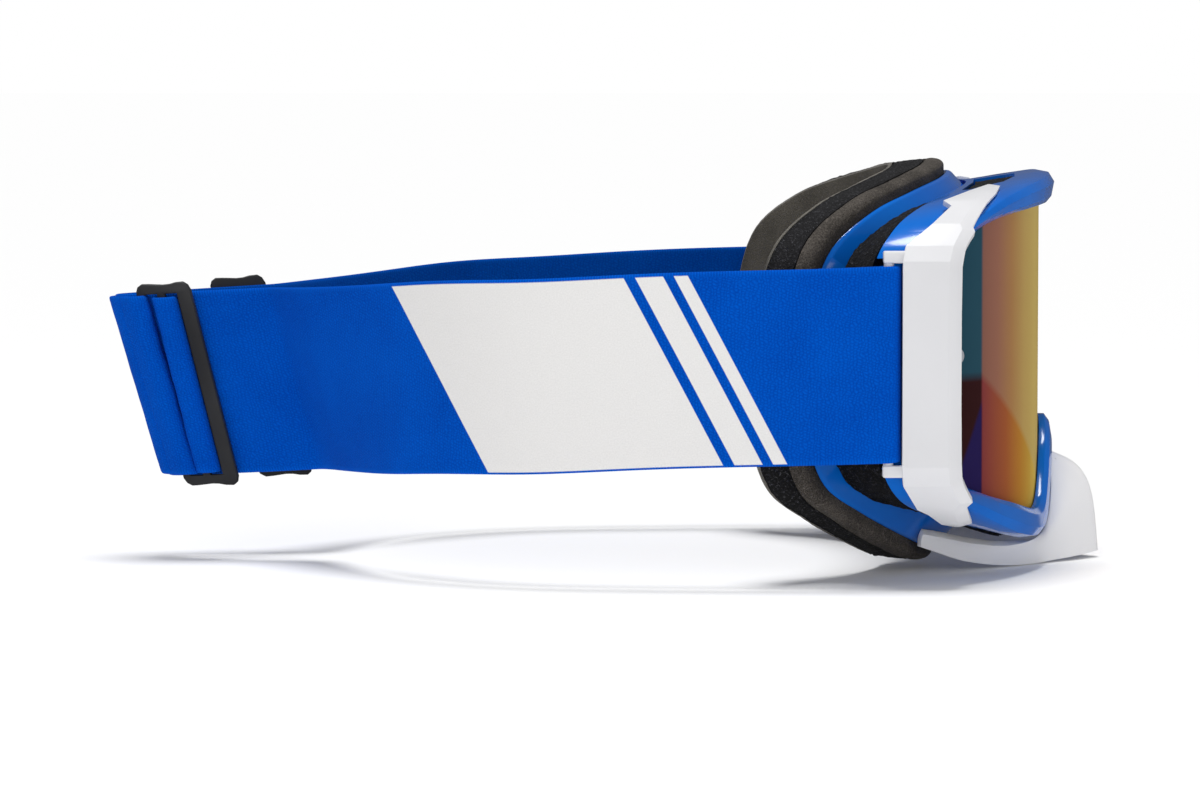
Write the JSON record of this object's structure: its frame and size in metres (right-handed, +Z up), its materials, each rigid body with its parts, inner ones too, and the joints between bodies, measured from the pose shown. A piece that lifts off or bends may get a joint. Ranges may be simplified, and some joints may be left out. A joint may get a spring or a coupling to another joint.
{
  "type": "motorcycle goggles",
  "caption": "Motocross goggles: blue frame with a single-curved mirror lens, white side clips and nose guard, layered face foam and an elastic strap with slide adjusters.",
  "frame": {"origin": "middle of the bounding box at its lowest level, below the middle between the lens and the back of the strap", "axes": "+X out through the lens, +Y to the wearer's left, +Z up"},
  "size_m": [0.2581, 0.178, 0.1039],
  "materials": {
    "frame_blue": "glossy moulded blue plastic",
    "clip_white": "satin-gloss white plastic",
    "slider_black": "matte black plastic",
    "strap_blue": "woven elastic webbing, blue",
    "lens_mirror": "polished sheet with an iridescent mirror coat",
    "post_clear": "clear moulded button",
    "foam_grey": "open-cell face foam, grey-brown",
    "foam_black": "coarse open-cell foam, black",
    "fleece_brown": "thin brushed fleece facing",
    "vent_foam_black": "coarse open-cell filter foam, black"
  },
  "bodies": {
    "frame": {"lens_frame": "frame_blue", "face_frame": "frame_blue", "lens": "lens_mirror", "tear_off_post_left": "post_clear", "tear_off_post_right": "post_clear", "outrigger_left": "clip_white", "outrigger_right": "clip_white", "vent_foam_top_left": "vent_foam_black", "vent_foam_top_right": "vent_foam_black", "vent_foam_side_left": "vent_foam_black", "vent_foam_side_right": "vent_foam_black", "foam_base_layer": "foam_grey", "foam_middle_layer": "foam_black", "foam_face_fleece": "fleece_brown", "strap_end_left": "strap_blue", "strap_end_right": "strap_blue"},
    "strap": {"strap": "strap_blue", "strap_back_fold": "strap_blue"},
    "slider_left": {"slider_left": "slider_black", "strap_fold_left": "strap_blue"},
    "slider_right": {"slider_right": "slider_black", "strap_fold_right": "strap_blue"},
    "nose_guard": {"nose_guard": "clip_white"}
  },
  "joints": [
    {"name": "strap_tilt", "type": "hinge", "parent": "frame", "child": "strap", "pos_m": [0.06911, 0, 0.05513], "axis": [0, 1, 0], "range_deg": [-18, 18], "stiffness_Nm_per_rad": 0.5},
    {"name": "slider_left_slide", "type": "slide", "parent": "strap", "child": "slider_left", "axis": [0.9828, 0.1769, 0.0526], "range_m": [-0.0175, 0]},
    {"name": "slider_right_slide", "type": "slide", "parent": "strap", "child": "slider_right", "axis": [0.9828, -0.1769, 0.0526], "range_m": [0, 0.0175]},
    {"name": "nose_guard_pull", "type": "slide", "parent": "frame", "child": "nose_guard", "axis": [0.9, 0, -0.4359], "range_m": [0, 0.015]}
  ]
}
